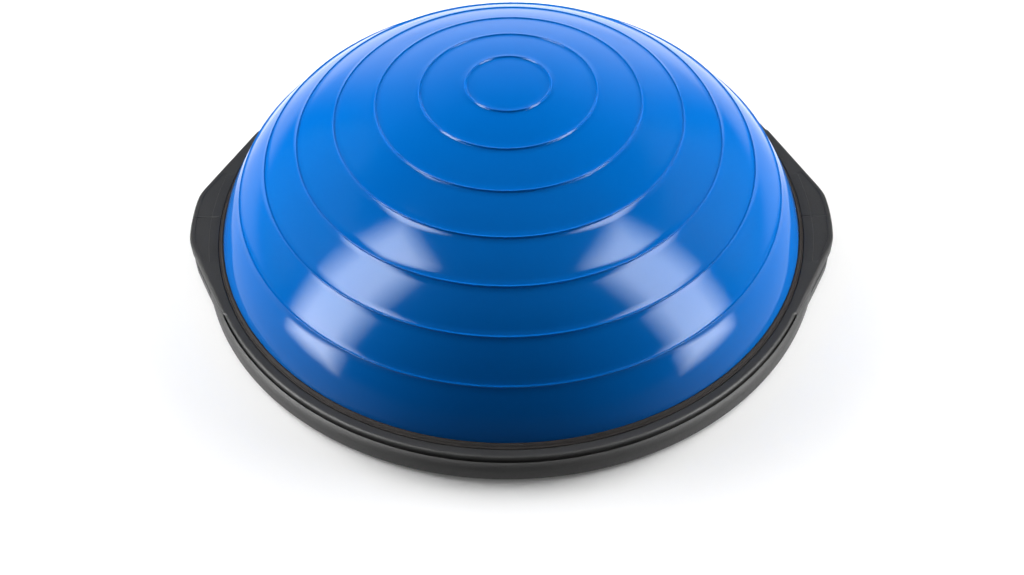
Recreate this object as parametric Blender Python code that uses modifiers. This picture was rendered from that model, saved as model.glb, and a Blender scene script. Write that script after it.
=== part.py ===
"""Balance dome trainer: an inflated, ribbed dome clamped to a round platform with two handle ears.

Metres, +Z up. The origin is on the floor under the middle of the dome, and the ears point along +X and -X.
"""
import bmesh
import bpy
from math import acos, cos, pi, radians, sin
from mathutils import Matrix

# ---- driving dimensions ------------------------------------------------------------------------
SEGMENTS = 64                      # flats round every large turned piece, so that they nest
GAP = 0.0003                       # air between touching pieces
OVERLAP = 0.0020                   # how far a joined or cutting solid runs past a face
CUTTER_TOP = 0.0400                # above the whole base
CUTTER_REACH = 0.4000              # beyond the whole base
CORNER_IN = 0.0008                 # the middle of a broken outer corner, inwards and down
CORNER_DOWN = 0.0010
SHARP_ANGLE = radians(40)

# Dome meridian: slope angle in radians at an arc length u (in decimetres) from the crown.
DOME_TOP = 0.2011
SLOPE_LINEAR = 0.2674
SLOPE_CUBIC = 0.00408
SLOPE_SEVENTH = 0.000032
DOME_ARC = 0.3665                  # arc from the crown to the flange
DOME_WALL = 0.003
RIB_COUNT = 7
RIB_FIRST = 0.039                  # arc from the crown to the first rib
RIB_PITCH = 0.043
RIB_WIDTH = 0.0046
RIB_HEIGHT = 0.0016
LOWER_ARCS = (0.3280, 0.3520)      # arcs of the outside points below the last rib
INNER_ARCS = (0.3350, 0.2950, 0.2400, 0.1700, 0.0900)
FLANGE_RADIUS = 0.2903
FLANGE_THICKNESS = 0.0016
BLADDER_FLOOR_THICKNESS = 0.0014

# Base heights above the floor.
SKIRT_BOTTOM = 0.004
DECK_UNDERSIDE = 0.007
DECK_TOP = 0.012
FLANGE_TOP = DECK_TOP + 0.0036
SKIRT_TOP = 0.0252
RIM_TOP = 0.030

# Base radii.
SKIRT_RADIUS = 0.3019
SKIRT_TOP_RADIUS = 0.3006
SKIRT_INNER_RADIUS = 0.2977
RIM_INNER_RADIUS = 0.2880
RIM_OUTER_RADIUS = 0.2993
RIM_BODY_RADIUS = 0.2972
STAND_RADIUS = 0.2840              # the underside's flat outer ring starts here
SKIRT_CHAMFER = 0.0016

# Rim corners and seal lip.
RIM_ROUNDING = 0.0028
RIM_INNER_CHAMFER = 0.0006
RIM_EDGE_DROP = 0.0002             # the rounded edges start this far below the rim's top
RIM_WALL_CLEARANCE = 0.0010        # from the skirt's top up to the rim's outer wall
RIM_STEP_CLEARANCE = 0.0006        # from the skirt's top up to the root of that wall
LIP_CONTACT_HEIGHT = 0.0332        # where the lip meets the dome
LIP_CLEARANCE = 0.0004             # air between the lip and the dome's wall
LIP_CREST_WIDTH = 0.0014
LIP_CREST_DROP = 0.0006
LIP_SHOULDER = 0.0012
LIP_INNER_HEIGHTS = (0.0240, 0.0290)

# Handle ears.
EAR_TIP = 0.3175                   # half of 635 mm across the ears
EAR_BOW_RADIUS = 0.250
EAR_CORNER_RADIUS = 0.020
EAR_FLANK_ANGLE = radians(26.0)
EAR_ROOT_SPREAD = radians(1.6)     # the flanks run on past their tangent point
EAR_ROOT_RADIUS = 0.2910           # the ear's blank starts here, inside the ring
EAR_TOP_DROP = 0.0001
EAR_ROUNDING = 0.0018
EAR_FLANK_DISTANCE = 0.2984        # from the axis to the straight flank
DECK_EAR_FLANK = 0.2994            # the same for the platform's half of the ear
DECK_EAR_ROOT_RADIUS = 0.2990
EAR_SPLIT = 0.0165                 # the rim's half of the ear ends here, the platform's half below it
EAR_STEP = 0.0030                  # the platform's half is set back by this much
POCKET_INNER_X = 0.2995
POCKET_WALL = 0.0042
POCKET_HALF_LENGTH = 0.034
POCKET_ROOF = 0.0255

# Screws.
SCREW_COUNT = 12
SCREW_CIRCLE = 0.2940
SCREW_RADIUS = 0.0018
SCREW_CLEARANCE = 0.0004
SCREW_TIP = 0.0240
SCREW_POINT = 0.0030               # length of the tapered end
SCREW_POINT_FLAT = 0.0010          # length of its blunt tip
SCREW_SEAT = 0.0085                # top of the counterbores in the underside
SCREW_HEAD_RADIUS = 0.0036
SCREW_HEAD_LOW = 0.0052
SCREW_HEAD_EDGE = 0.0010
SCREW_HEAD_FACE = 0.7              # flat share of the head's radius

# Underside ribs and feet.
DECK_RIB_COUNT = 8
DECK_RIB_WIDTH = 0.003
DECK_RIB_LOW = 0.0044              # the ribs, the ring and the bosses end at unlike heights
DECK_RING_RADIUS = 0.140
DECK_RING_LOW = 0.0042
BOSS_WALL = 0.003
BOSS_LOW = 0.0046
UNDERSIDE_DEPTH = 0.0042           # height of the solids added under the deck
FOOT_COUNT = 8
FOOT_CIRCLE = 0.2540
FOOT_RADIUS = 0.0180
FOOT_RECESS_DEPTH = 0.002
FOOT_EDGE_HEIGHT = 0.0022
FOOT_CHAMFER = 0.0016
FOOT_FACE_WIDTH = 0.0060           # the tread, from the foot's edge inwards
FOOT_HOLLOW = 0.0006

# Valve.
PORT_RADIUS = 0.024
PORT_WALL = 0.003
PORT_BORE = 0.0103
PORT_ROOF = DECK_TOP - 0.004
SEAT_NECK_CLEARANCE = 0.0006
SEAT_COLLAR_RADIUS = 0.0160
SEAT_COLLAR_CHAMFER = 0.0010
SEAT_COLLAR_HEIGHT = 0.0012
VALVE_BORE = 0.0053
PLUG_STEM = 0.0050
PLUG_TIP_SHARE = 0.55              # the tip's radius as a share of the stem's
PLUG_TIP_RISE = 0.0060             # tip and taper above the bladder's floor
PLUG_TAPER_RISE = 0.0020
PLUG_HEAD_RADIUS = 0.0090
PLUG_HEAD_THICKNESS = 0.0020
PLUG_HEAD_WALL = 0.0012
PLUG_HEAD_CHAMFER = 0.0010


# ---- helpers -----------------------------------------------------------------------------------
def collection(name, parent=None):
    made = bpy.data.collections.new(name)
    (parent or bpy.context.scene.collection).children.link(made)
    return made


def material(name, colour, roughness, metallic=0.0):
    made = bpy.data.materials.new(name)
    made.use_nodes = True
    shader = made.node_tree.nodes["Principled BSDF"]
    shader.inputs["Base Color"].default_value = (*colour, 1.0)
    shader.inputs["Roughness"].default_value = roughness
    shader.inputs["Metallic"].default_value = metallic
    made.diffuse_color = (*colour, 1.0)
    return made


def add_object(name, mesh, finish, group):
    made = bpy.data.objects.new(name, mesh)
    group.objects.link(made)
    if finish:
        mesh.materials.append(finish)
    return made


def as_cutter(piece):
    piece.hide_render = True
    piece.display_type = "WIRE"
    return piece


def evaluated_mesh(piece):
    bpy.context.view_layer.update()
    return bpy.data.meshes.new_from_object(piece.evaluated_get(bpy.context.evaluated_depsgraph_get()))


def applied(piece):
    """Make the piece's modifiers part of its mesh, shaded smooth between its sharp edges."""
    drawn = piece.data
    solid = evaluated_mesh(piece)
    piece.modifiers.clear()
    piece.data = solid
    bpy.data.meshes.remove(drawn)
    solid.name = piece.name
    solid.shade_smooth()
    solid.set_sharp_from_angle(angle=SHARP_ANGLE)
    return piece


def turned(name, profile, finish, group, steps=SEGMENTS, closed=True):
    """Turn a profile of (radius, height) points, given down its outer side first, about the Z axis."""
    mesh = bpy.data.meshes.new(name)
    edges = [(i, i + 1) for i in range(len(profile) - 1)]
    if closed:
        edges.append((len(profile) - 1, 0))
    mesh.from_pydata([(radius, 0.0, height) for radius, height in profile], edges, [])
    piece = add_object(name, mesh, finish, group)
    screw = piece.modifiers.new("turn", "SCREW")
    screw.steps = steps
    screw.render_steps = steps
    screw.use_merge_vertices = True
    screw.merge_threshold = 0.00001
    return applied(piece)


def block(name, low, high, group):
    mesh = bpy.data.meshes.new(name)
    form = bmesh.new()
    bmesh.ops.create_cube(form, size=1.0)
    for vert in form.verts:
        vert.co = [a + (c + 0.5) * (b - a) for a, b, c in zip(low, high, vert.co)]
    form.to_mesh(mesh)
    form.free()
    return add_object(name, mesh, None, group)


def cylinder(name, radius, low, high, group, sides=24, place=(0.0, 0.0)):
    mesh = bpy.data.meshes.new(name)
    form = bmesh.new()
    middle = Matrix.Translation((place[0], place[1], (low + high) / 2))
    bmesh.ops.create_cone(
        form, cap_ends=True, segments=sides, radius1=radius, radius2=radius, depth=high - low, matrix=middle
    )
    form.to_mesh(mesh)
    form.free()
    return add_object(name, mesh, None, group)


def plate(name, outline, low, high, group, rounding=0.0):
    """Extrude a flat outline from one height to another, with its edges rounded inside the outline."""
    curve = bpy.data.curves.new(name, "CURVE")
    curve.dimensions = "2D"
    curve.fill_mode = "BOTH"
    curve.extrude = (high - low) / 2 - rounding
    curve.bevel_depth = rounding
    curve.bevel_resolution = 1
    curve.offset = -rounding
    spline = curve.splines.new("POLY")
    spline.points.add(len(outline) - 1)
    for point, (x, y) in zip(spline.points, outline):
        point.co = (x, y, 0.0, 1.0)
    spline.use_cyclic_u = True
    drawn = bpy.data.objects.new(name + "_outline", curve)
    group.objects.link(drawn)
    drawn.location.z = (low + high) / 2
    mesh = evaluated_mesh(drawn)
    form = bmesh.new()
    form.from_mesh(mesh)
    bmesh.ops.remove_doubles(form, verts=form.verts, dist=0.00002)
    bmesh.ops.recalc_face_normals(form, faces=form.faces)
    form.to_mesh(mesh)
    form.free()
    piece = add_object(name, mesh, None, group)
    piece.matrix_world = drawn.matrix_world.copy()
    bpy.data.objects.remove(drawn)
    bpy.data.curves.remove(curve)
    return piece


def boolean(piece, operation, group):
    """Join the piece with every solid of a collection, or cut them from it, or keep what they share."""
    cut = piece.modifiers.new(operation.lower(), "BOOLEAN")
    cut.operation = operation
    cut.solver = "EXACT"
    cut.operand_type = "COLLECTION"
    cut.collection = group
    applied(piece)


def around(count, radius, first=0.5):
    """Places at equal angles on a circle, the first one a part of a step away from +X."""
    for index in range(count):
        angle = 2 * pi * (index + first) / count
        yield index + 1, angle, radius * cos(angle), radius * sin(angle)


# ---- outlines ----------------------------------------------------------------------------------
def dome_meridian(step=0.0005):
    """Points (arc, radius, height, slope) down the outside of the smooth dome."""
    arc, radius, height, slope = 0.0, 0.0, DOME_TOP, 0.0
    points = [(arc, radius, height, slope)]
    while arc < DOME_ARC:
        arc += step
        u = arc * 10
        following = SLOPE_LINEAR * u + SLOPE_CUBIC * u ** 3 + SLOPE_SEVENTH * u ** 7
        middle = (slope + following) / 2
        radius += step * cos(middle)
        height -= step * sin(middle)
        slope = following
        points.append((arc, radius, height, slope))
    return points


MERIDIAN = dome_meridian()


def on_dome(arc, raised=0.0):
    """The point at an arc length from the crown, raised from the surface along its normal."""
    _, radius, height, slope = min(MERIDIAN, key=lambda point: abs(point[0] - arc))
    return radius + raised * sin(slope), height + raised * cos(slope)


def dome_radius_at(height):
    return min(MERIDIAN, key=lambda point: abs(point[2] - height))[1]


def ear_outline(tip=EAR_TIP, flank=EAR_FLANK_DISTANCE, inner=EAR_ROOT_RADIUS, grow=0.0):
    """One ear at +X: a bowed end, two rounded corners and straight flanks that run into the rim."""
    bow_centre = tip - EAR_BOW_RADIUS
    bow = EAR_BOW_RADIUS + grow
    corner = EAR_CORNER_RADIUS + grow
    reach = EAR_BOW_RADIUS - EAR_CORNER_RADIUS
    run = (flank - EAR_CORNER_RADIUS - bow_centre * cos(EAR_FLANK_ANGLE)) / reach
    turn = EAR_FLANK_ANGLE - acos(run)
    corner_x = bow_centre + reach * cos(turn)
    corner_y = reach * sin(turn)
    half = [(bow_centre + bow * cos(turn * i / 4), bow * sin(turn * i / 4)) for i in range(4)]
    for i in range(5):
        angle = turn + (EAR_FLANK_ANGLE - turn) * i / 4
        half.append((corner_x + corner * cos(angle), corner_y + corner * sin(angle)))
    root = EAR_FLANK_ANGLE + EAR_ROOT_SPREAD
    half.append(((flank + grow) * cos(root), (flank + grow) * sin(root)))
    half += [(inner * cos(root * i / 4), inner * sin(root * i / 4)) for i in (4, 3, 2, 1, 0)]
    return half + [(x, -y) for x, y in reversed(half[1:-1])]


def pocket_outline():
    """The finger pocket in an ear: straight inside, bowed like the ear's end outside."""
    outer = EAR_BOW_RADIUS - POCKET_WALL
    bow_centre = EAR_TIP - EAR_BOW_RADIUS
    sweep = POCKET_HALF_LENGTH / outer
    far = [(bow_centre + outer * cos(sweep * i / 3), outer * sin(sweep * i / 3)) for i in range(-3, 4)]
    return [(POCKET_INNER_X, -POCKET_HALF_LENGTH), *far, (POCKET_INNER_X, POCKET_HALF_LENGTH)]


def both_ends(outline):
    yield "right", outline
    yield "left", [(-x, -y) for x, y in outline]


# ---- pieces ------------------------------------------------------------------------------------
def make_dome_skin(finish, group):
    """The ribbed skin, its wall turning down inside the lip and out into the clamped flange."""
    outer = [(0.0, DOME_TOP), on_dome(RIB_FIRST / 2)]
    for index in range(RIB_COUNT):
        arc = RIB_FIRST + index * RIB_PITCH
        outer.append(on_dome(arc - RIB_WIDTH / 2))
        outer.append(on_dome(arc, RIB_HEIGHT))
        outer.append(on_dome(arc + RIB_WIDTH / 2))
    outer += [on_dome(arc) for arc in LOWER_ARCS]
    wall_foot = dome_radius_at(FLANGE_TOP)
    outer.append((wall_foot, FLANGE_TOP))
    outer.append((FLANGE_RADIUS, FLANGE_TOP))
    outer.append((FLANGE_RADIUS, FLANGE_TOP - FLANGE_THICKNESS))
    inner = [(wall_foot - DOME_WALL, FLANGE_TOP - FLANGE_THICKNESS)]
    inner += [on_dome(arc, -DOME_WALL) for arc in INNER_ARCS]
    inner.append((0.0, DOME_TOP - DOME_WALL))
    return turned("dome_skin", outer + inner, finish, group, closed=False)


def make_bladder_floor(finish, group):
    """The flat lower wall of the air chamber, with a hole for the valve."""
    low = DECK_TOP + GAP
    high = low + BLADDER_FLOOR_THICKNESS
    hole = PORT_BORE - GAP
    profile = [(FLANGE_RADIUS, high), (FLANGE_RADIUS, low), (hole, low), (hole, high)]
    return turned("bladder_floor", profile, finish, group)


def make_seal_lip(finish, group):
    """The soft lip: a wedge that closes the gap between the dome's wall and the rim."""
    outer_radius = RIM_INNER_RADIUS - GAP
    foot = FLANGE_TOP + GAP
    heights = (foot, *LIP_INNER_HEIGHTS, LIP_CONTACT_HEIGHT - LIP_CREST_DROP)
    inner = [(dome_radius_at(height) + LIP_CLEARANCE, height) for height in heights]
    crest = (dome_radius_at(LIP_CONTACT_HEIGHT) + LIP_CREST_WIDTH, LIP_CONTACT_HEIGHT)
    shoulder = (outer_radius - LIP_SHOULDER, RIM_TOP + LIP_SHOULDER)
    profile = [crest, shoulder, (outer_radius, RIM_TOP - RIM_EDGE_DROP), (outer_radius, foot), *inner]
    return turned("seal_lip", profile, finish, group)


def make_rim(finish, group, cutters):
    """Two equal half rings, each with half of both ears, that meet across the ears."""
    foot = DECK_TOP + GAP
    flange_seat = FLANGE_TOP + GAP
    profile = [
        (RIM_OUTER_RADIUS - RIM_ROUNDING, RIM_TOP - RIM_EDGE_DROP),
        (RIM_OUTER_RADIUS - CORNER_IN, RIM_TOP - CORNER_DOWN),
        (RIM_OUTER_RADIUS, RIM_TOP - RIM_ROUNDING),
        (RIM_OUTER_RADIUS, SKIRT_TOP + RIM_WALL_CLEARANCE),
        (RIM_BODY_RADIUS, SKIRT_TOP + RIM_STEP_CLEARANCE),
        (RIM_BODY_RADIUS, foot),
        (FLANGE_RADIUS + GAP, foot),
        (FLANGE_RADIUS + GAP, flange_seat),
        (RIM_INNER_RADIUS, flange_seat),
        (RIM_INNER_RADIUS, RIM_TOP - RIM_INNER_CHAMFER),
        (RIM_INNER_RADIUS + RIM_INNER_CHAMFER, RIM_TOP),
    ]
    ears = collection("rim_ears", cutters)
    pockets = collection("rim_cutters", cutters)
    for side, outline in both_ends(ear_outline()):
        as_cutter(plate(f"rim_ear_{side}", outline, EAR_SPLIT, RIM_TOP - EAR_TOP_DROP, ears, EAR_ROUNDING))
    for side, outline in both_ends(pocket_outline()):
        as_cutter(plate(f"rim_pocket_{side}", outline, EAR_SPLIT - OVERLAP, POCKET_ROOF, pockets))
    pilot = SCREW_RADIUS + GAP
    low, high = DECK_TOP - OVERLAP, SCREW_TIP + GAP
    for index, _, x, y in around(SCREW_COUNT, SCREW_CIRCLE):
        as_cutter(cylinder(f"pilot_{index}", pilot, low, high, pockets, sides=12, place=(x, y)))
    patterns = collection("rim_pattern", cutters)
    half = as_cutter(turned("rim_pattern", profile, finish, patterns))
    rear_side = collection("rim_rear_side", cutters)
    low, high = (-CUTTER_REACH, GAP / 2, 0.0), (CUTTER_REACH, CUTTER_REACH, CUTTER_TOP)
    as_cutter(block("rear_side", low, high, rear_side))
    boolean(half, "UNION", ears)
    boolean(half, "DIFFERENCE", pockets)
    boolean(half, "INTERSECT", rear_side)
    for name, turn in (("rim_ring_rear", 0.0), ("rim_ring_front", pi)):
        ring = add_object(name, half.data, None, group)
        ring.rotation_euler.z = turn


def make_platform(finish, group, cutters):
    """The lower body: a ribbed deck with a flat standing ring, the skirt, the port and the lower ears."""
    hub_outer = PORT_RADIUS + PORT_WALL
    profile = [
        (SKIRT_TOP_RADIUS - CORNER_IN, SKIRT_TOP),
        (SKIRT_TOP_RADIUS, SKIRT_TOP - CORNER_DOWN),
        (SKIRT_RADIUS, SKIRT_BOTTOM + SKIRT_CHAMFER),
        (SKIRT_RADIUS - SKIRT_CHAMFER, SKIRT_BOTTOM),
        (STAND_RADIUS, SKIRT_BOTTOM),
        (STAND_RADIUS, DECK_UNDERSIDE),
        (hub_outer, DECK_UNDERSIDE),
        (hub_outer, SKIRT_BOTTOM),
        (PORT_RADIUS, SKIRT_BOTTOM),
        (PORT_RADIUS, PORT_ROOF),
        (PORT_BORE, PORT_ROOF),
        (PORT_BORE, DECK_TOP),
        (SKIRT_INNER_RADIUS, DECK_TOP),
        (SKIRT_INNER_RADIUS, SKIRT_TOP),
    ]
    body = turned("platform", profile, finish, group)
    added = collection("platform_additions", cutters)
    recesses = collection("platform_recesses", cutters)
    holes = collection("platform_holes", cutters)
    low = (hub_outer - OVERLAP, -DECK_RIB_WIDTH / 2, DECK_RIB_LOW)
    high = (STAND_RADIUS + OVERLAP, DECK_RIB_WIDTH / 2, DECK_RIB_LOW + UNDERSIDE_DEPTH)
    for index, angle, _, _ in around(DECK_RIB_COUNT, 1.0, first=0.0):
        rib = as_cutter(block(f"deck_rib_{index}", low, high, added))
        rib.rotation_euler.z = angle
    low, high = DECK_RING_LOW, DECK_RING_LOW + UNDERSIDE_DEPTH
    inside = DECK_RING_RADIUS - DECK_RIB_WIDTH
    ring = [(DECK_RING_RADIUS, high), (DECK_RING_RADIUS, low), (inside, low), (inside, high)]
    as_cutter(turned("deck_ring", ring, None, added, steps=SEGMENTS // 2))
    deck_ear = ear_outline(EAR_TIP - EAR_STEP, DECK_EAR_FLANK, DECK_EAR_ROOT_RADIUS)
    for side, outline in both_ends(deck_ear):
        as_cutter(plate(f"deck_ear_{side}", outline, SKIRT_BOTTOM + GAP, EAR_SPLIT + OVERLAP, added))
    boss, low, high = FOOT_RADIUS + BOSS_WALL, BOSS_LOW, BOSS_LOW + UNDERSIDE_DEPTH
    seat, seat_top = FOOT_RADIUS + GAP, SKIRT_BOTTOM + FOOT_RECESS_DEPTH
    for index, _, x, y in around(FOOT_COUNT, FOOT_CIRCLE):
        as_cutter(cylinder(f"foot_boss_{index}", boss, low, high, added, sides=16, place=(x, y)))
        as_cutter(cylinder(f"foot_seat_{index}", seat, 0.0, seat_top, recesses, sides=20, place=(x, y)))
    for side, outline in both_ends(ear_outline(grow=GAP)):
        as_cutter(plate(f"ear_room_{side}", outline, EAR_SPLIT - GAP, CUTTER_TOP, recesses))
    for side, outline in both_ends(pocket_outline()):
        as_cutter(plate(f"deck_pocket_{side}", outline, 0.0, EAR_SPLIT + OVERLAP, holes))
    hole = SCREW_RADIUS + SCREW_CLEARANCE
    head = SCREW_HEAD_RADIUS + GAP
    top = DECK_TOP + OVERLAP
    seat = [(0.0, top), (hole, top), (hole, SCREW_SEAT), (head, SCREW_SEAT), (head, 0.0), (0.0, 0.0)]
    for index, _, x, y in around(SCREW_COUNT, SCREW_CIRCLE):
        bore = as_cutter(turned(f"screw_seat_{index}", seat, None, recesses, steps=12, closed=False))
        bore.location = (x, y, 0.0)
    boolean(body, "UNION", added)
    boolean(body, "DIFFERENCE", recesses)
    boolean(body, "DIFFERENCE", holes)


def make_feet(finish, group):
    """Low rubber discs, domed at the edge and hollowed a little below, seated in the deck's bosses."""
    top = SKIRT_BOTTOM + FOOT_RECESS_DEPTH - GAP
    profile = [
        (0.0, top),
        (FOOT_RADIUS, top),
        (FOOT_RADIUS, FOOT_EDGE_HEIGHT),
        (FOOT_RADIUS - FOOT_CHAMFER, 0.0),
        (FOOT_RADIUS - FOOT_FACE_WIDTH, 0.0),
        (0.0, FOOT_HOLLOW),
    ]
    for index, _, x, y in around(FOOT_COUNT, FOOT_CIRCLE):
        foot = turned(f"foot_{index}", profile, finish, group, steps=20, closed=False)
        foot.location = (x, y, 0.0)


def make_screws(finish, group):
    """Pan-head screws driven from below through the deck into the rim."""
    head_high = SCREW_SEAT - GAP
    profile = [
        (0.0, SCREW_TIP),
        (SCREW_RADIUS / 2, SCREW_TIP - SCREW_POINT_FLAT),
        (SCREW_RADIUS, SCREW_TIP - SCREW_POINT),
        (SCREW_RADIUS, head_high),
        (SCREW_HEAD_RADIUS, head_high),
        (SCREW_HEAD_RADIUS, SCREW_HEAD_LOW + SCREW_HEAD_EDGE),
        (SCREW_HEAD_RADIUS * SCREW_HEAD_FACE, SCREW_HEAD_LOW),
        (0.0, SCREW_HEAD_LOW),
    ]
    for index, _, x, y in around(SCREW_COUNT, SCREW_CIRCLE):
        screw = turned(f"clamp_screw_{index}", profile, finish, group, steps=12, closed=False)
        screw.location = (x, y, 0.0)


def make_valve(seat_finish, plug_finish, group):
    """The welded grommet, and the plug that is pulled down out of it to inflate the dome."""
    floor_top = DECK_TOP + GAP + BLADDER_FLOOR_THICKNESS
    neck = PORT_BORE - SEAT_NECK_CLEARANCE
    collar = floor_top + GAP
    collar_top = collar + SEAT_COLLAR_HEIGHT
    seat = [
        (SEAT_COLLAR_RADIUS - SEAT_COLLAR_CHAMFER, collar_top),
        (SEAT_COLLAR_RADIUS, collar),
        (neck, collar),
        (neck, PORT_ROOF),
        (VALVE_BORE, PORT_ROOF),
        (VALVE_BORE, collar_top),
    ]
    turned("valve_seat", seat, seat_finish, group, steps=32)
    head_top = PORT_ROOF - GAP
    plug = [
        (0.0, floor_top + PLUG_TIP_RISE),
        (PLUG_STEM * PLUG_TIP_SHARE, floor_top + PLUG_TIP_RISE),
        (PLUG_STEM, floor_top + PLUG_TAPER_RISE),
        (PLUG_STEM, head_top),
        (PLUG_HEAD_RADIUS, head_top),
        (PLUG_HEAD_RADIUS, head_top - PLUG_HEAD_WALL),
        (PLUG_HEAD_RADIUS - PLUG_HEAD_CHAMFER, head_top - PLUG_HEAD_THICKNESS),
        (0.0, head_top - PLUG_HEAD_THICKNESS),
    ]
    turned("valve_plug", plug, plug_finish, group, steps=32, closed=False)


def main():
    for old in list(bpy.data.objects):
        bpy.data.objects.remove(old)
    group = collection("balance_dome_trainer")
    cutters = collection("cutters")
    blue = material("dome_blue_pvc", (0.004, 0.115, 0.52), 0.22)
    clear_pvc = material("floor_pvc", (0.010, 0.045, 0.16), 0.45)
    lip_black = material("lip_soft_black", (0.035, 0.030, 0.028), 0.55)
    rim_black = material("rim_plastic", (0.028, 0.028, 0.030), 0.38)
    deck_black = material("platform_plastic", (0.026, 0.026, 0.028), 0.45)
    rubber = material("foot_rubber", (0.055, 0.055, 0.058), 0.85)
    steel = material("screw_steel", (0.42, 0.42, 0.43), 0.32, metallic=1.0)
    valve_white = material("valve_pvc", (0.62, 0.63, 0.64), 0.40)
    plug_black = material("plug_plastic", (0.05, 0.05, 0.055), 0.50)
    make_dome_skin(blue, group)
    make_bladder_floor(clear_pvc, group)
    make_seal_lip(lip_black, group)
    make_rim(rim_black, group, cutters)
    make_platform(deck_black, group, cutters)
    make_feet(rubber, group)
    make_screws(steel, group)
    make_valve(valve_white, plug_black, group)


main()
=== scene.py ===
"""Looks of the balance dome trainer: fine surfaces, materials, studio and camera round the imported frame.

Everything is in metres, +Z up, with the floor at z = 0 and the handle ears along +X and -X.
"""

from math import cos, pi, radians, sin

import bmesh
import bpy
import numpy as np
from mathutils import Matrix, Vector


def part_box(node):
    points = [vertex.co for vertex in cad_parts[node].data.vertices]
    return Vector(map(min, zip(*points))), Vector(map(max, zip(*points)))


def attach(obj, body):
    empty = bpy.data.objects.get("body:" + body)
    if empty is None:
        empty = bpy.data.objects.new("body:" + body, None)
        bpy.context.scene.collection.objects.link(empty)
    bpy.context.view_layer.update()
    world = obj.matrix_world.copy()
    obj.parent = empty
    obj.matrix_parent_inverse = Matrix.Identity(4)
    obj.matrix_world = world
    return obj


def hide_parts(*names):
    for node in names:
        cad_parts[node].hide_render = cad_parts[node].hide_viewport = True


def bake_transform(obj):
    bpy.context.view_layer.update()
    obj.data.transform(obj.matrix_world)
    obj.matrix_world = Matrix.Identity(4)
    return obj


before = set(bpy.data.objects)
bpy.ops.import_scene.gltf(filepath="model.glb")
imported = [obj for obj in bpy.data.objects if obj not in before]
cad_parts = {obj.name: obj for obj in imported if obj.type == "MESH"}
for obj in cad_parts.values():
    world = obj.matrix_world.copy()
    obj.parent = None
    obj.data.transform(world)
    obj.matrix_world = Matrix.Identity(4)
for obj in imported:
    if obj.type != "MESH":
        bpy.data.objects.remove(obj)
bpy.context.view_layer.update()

# ---- sizes, the same as the CAD model's --------------------------------------------------------
MM = 0.001
GAP = 0.3 * MM                     # air between touching pieces
DOME_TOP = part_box("dome_skin")[1].z
RIM_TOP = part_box("rim_ring_rear")[1].z
EAR_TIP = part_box("rim_ring_rear")[1].x
LIP_OUTER_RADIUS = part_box("seal_lip")[1].x
LIP_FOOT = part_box("seal_lip")[0].z
SKIRT_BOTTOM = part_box("platform")[0].z

# Dome meridian: slope in radians at an arc length u (in decimetres) from the crown.
SLOPE_LINEAR = 0.2674
SLOPE_CUBIC = 0.00408
SLOPE_SEVENTH = 0.000032
DOME_ARC = 0.3665                  # arc from the crown to the flange
WALL_ARC = 0.3520                  # arc of the lowest plain point of the wall, outside and inside
INNER_WALL_ARC = 0.3400
DOME_WALL = 3 * MM
RIB_COUNT = 7
RIB_FIRST = 39 * MM
RIB_PITCH = 43 * MM
RIB_HALF_WIDTH = 1.5 * MM
RIB_HEIGHT = 1.35 * MM
FLANGE_RADIUS = 290.3 * MM
FLANGE_TOP = 15.6 * MM
FLANGE_THICKNESS = 1.6 * MM
FLANGE_BEND = 1.2 * MM
LIP_CONTACT = 33.2 * MM            # height where the lip meets the dome

# Rim and platform.
RIM_INNER_RADIUS = 288.0 * MM
RIM_OUTER_RADIUS = 296.9 * MM
RIM_BODY_RADIUS = 296.3 * MM
RIM_FOOT = 12.3 * MM
RIM_WALL_FOOT = 23.5 * MM          # lower edge of the rim's outer wall, inside the groove
RIM_ROUNDING = 2.4 * MM
EAR_ROUNDING = 2.6 * MM
RIM_BEAD = 0.9 * MM                # rounding of the rim's inner edge and of its two ends
RIM_WALL_DRAFT = 0.3 * MM
RIM_FOOT_ROUNDING = 0.5 * MM
RIM_LEDGE = 0.1 * MM               # the outer wall's underside runs this far over the rim's body
SKIRT_TOP = 24.4 * MM
SKIRT_RADIUS = 301.89 * MM
SHOULDER_REACH = 3.6 * MM          # how far the skirt's rounded shoulder leans in
SHOULDER_DROP = 9.0 * MM
SHOULDER_DROP_UNDER_EAR = 3.0 * MM
SHOULDER_TURN = radians(62)        # the shoulder's curve stops before it lies flat
SKIRT_FOOT_ROUNDING = 1.8 * MM
SKIRT_INNER_RADIUS = 297.7 * MM
GROOVE_FLOOR = 14.0 * MM
STAND_RADIUS = 284.0 * MM
DECK_UNDERSIDE = 7 * MM
DECK_TOP = 12 * MM
HALF_GAP = GAP / 2

# Handle ears.
EAR_BOW_RADIUS = 250 * MM
EAR_FLANK_ANGLE = radians(26.0)
EAR_FLANK_DISTANCE = 298.4 * MM
DECK_EAR_FLANK = 299.4 * MM
EAR_CORNER_SOFTNESS = 1.1 * MM
EAR_BLEND = 2.0 * MM               # the rim's section turns into the ear's over this reach
EAR_SPLIT = 16.5 * MM
EAR_STEP = 3.0 * MM
POCKET_INNER_X = 299.5 * MM
POCKET_WALL = 4.2 * MM
POCKET_HALF_LENGTH = 34 * MM
POCKET_ROOF = 25.5 * MM
PANEL_INNER_RADIUS = 297.5 * MM
PANEL_BORDER = 5 * MM
PANEL_DEPTH = 0.35 * MM
PANEL_STEP = 0.25 * MM

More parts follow.
